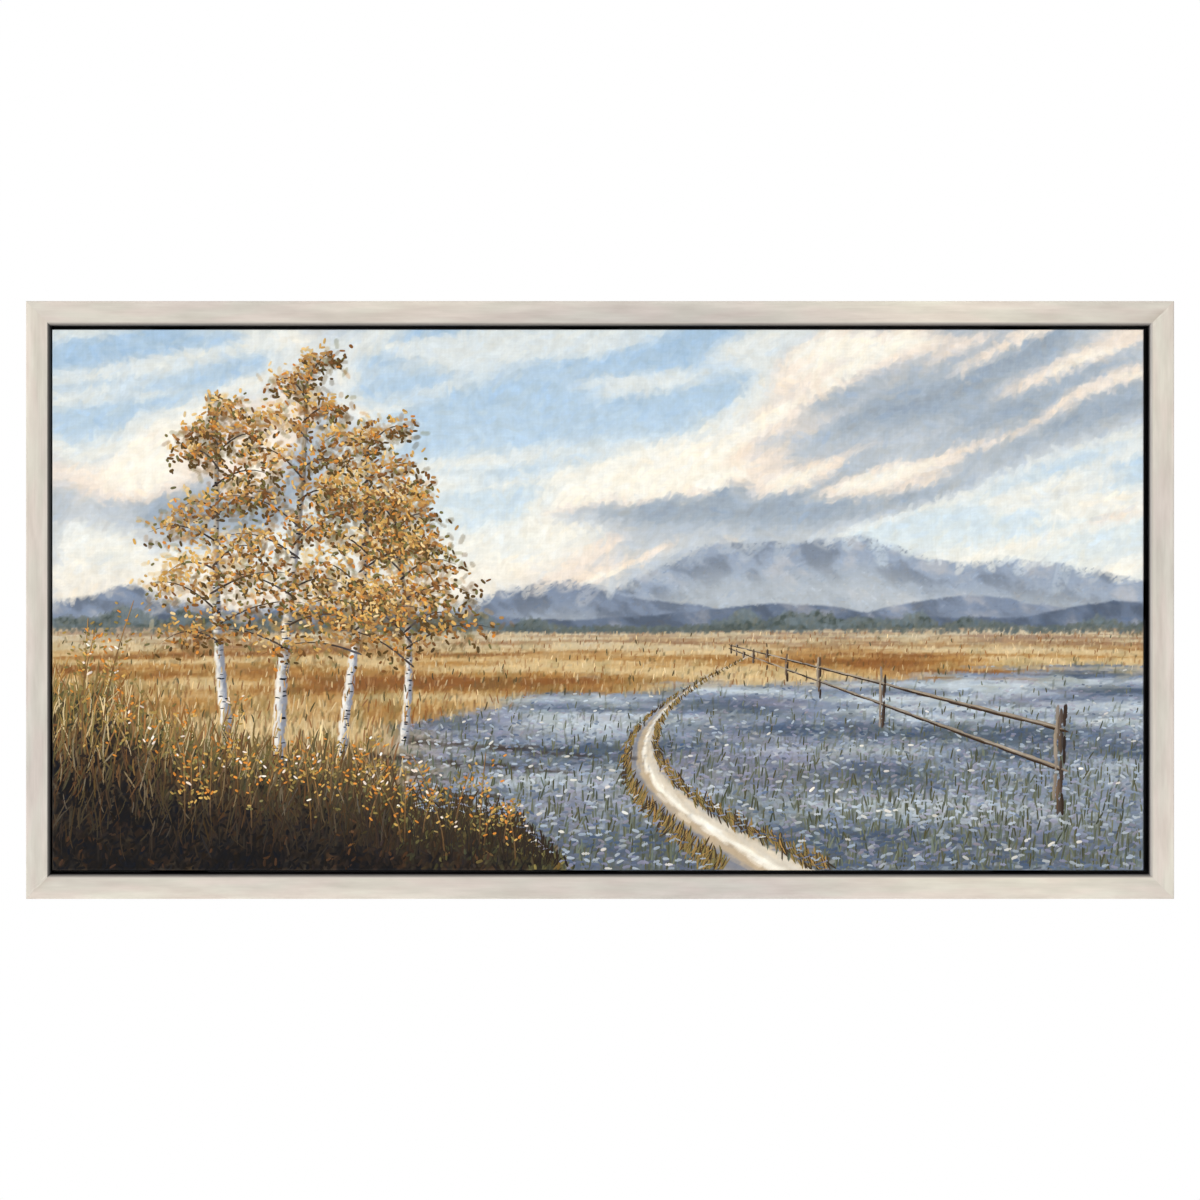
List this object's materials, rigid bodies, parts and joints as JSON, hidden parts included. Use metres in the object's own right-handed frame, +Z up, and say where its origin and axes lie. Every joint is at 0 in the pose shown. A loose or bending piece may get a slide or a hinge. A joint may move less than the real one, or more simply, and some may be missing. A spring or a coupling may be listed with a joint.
{
  "type": "framed canvas picture",
  "caption": "Wide canvas print of a painted countryside in a pale limewashed floater frame with a dark gap round the picture; hangs on a wall by sawtooth hangers.",
  "frame": {"origin": "on the wall plane, halfway between the two sawtooth hangers, level with the roofs of their notches, where the nails in the wall carry the frame", "axes": "+X to the right of a person who looks at the picture, +Y from the picture towards the wall, +Z up"},
  "size_m": [1.284, 0.047, 0.6687],
  "materials": {
    "limewashed_wood": "cream limewash on solid wood, matt, with soft grey streaks along the grain; the inner channel is painted satin black",
    "stretcher_pine": "bare planed pine",
    "canvas_cloth": "primed woven canvas, painted in fine brush strokes on the front and sides, bare off-white behind",
    "zinc_plated_steel": "bright zinc plating",
    "clear_rubber": "cloudy clear rubber"
  },
  "bodies": {
    "root": {"canvas": "canvas_cloth", "fixing_screw_1": "zinc_plated_steel", "fixing_screw_2": "zinc_plated_steel", "fixing_screw_3": "zinc_plated_steel", "fixing_screw_4": "zinc_plated_steel", "fixing_screw_5": "zinc_plated_steel", "fixing_screw_6": "zinc_plated_steel", "fixing_screw_7": "zinc_plated_steel", "fixing_screw_8": "zinc_plated_steel", "frame_rail_bottom": "limewashed_wood", "frame_rail_left": "limewashed_wood", "frame_rail_right": "limewashed_wood", "frame_rail_top": "limewashed_wood", "hanger_nail_left_left": "zinc_plated_steel", "hanger_nail_left_right": "zinc_plated_steel", "hanger_nail_right_left": "zinc_plated_steel", "hanger_nail_right_right": "zinc_plated_steel", "sawtooth_hanger_left": "zinc_plated_steel", "sawtooth_hanger_right": "zinc_plated_steel", "stretcher_bar_bottom": "stretcher_pine", "stretcher_bar_left": "stretcher_pine", "stretcher_bar_right": "stretcher_pine", "stretcher_bar_top": "stretcher_pine", "stretcher_brace": "stretcher_pine", "v_nail_bottom_left_1": "zinc_plated_steel", "v_nail_bottom_left_2": "zinc_plated_steel", "v_nail_bottom_right_1": "zinc_plated_steel", "v_nail_bottom_right_2": "zinc_plated_steel", "v_nail_top_left_1": "zinc_plated_steel", "v_nail_top_left_2": "zinc_plated_steel", "v_nail_top_right_1": "zinc_plated_steel", "v_nail_top_right_2": "zinc_plated_steel", "wall_bumper_bottom_left": "clear_rubber", "wall_bumper_bottom_right": "clear_rubber", "wall_bumper_top_left": "clear_rubber", "wall_bumper_top_right": "clear_rubber"}
  },
  "joints": []
}
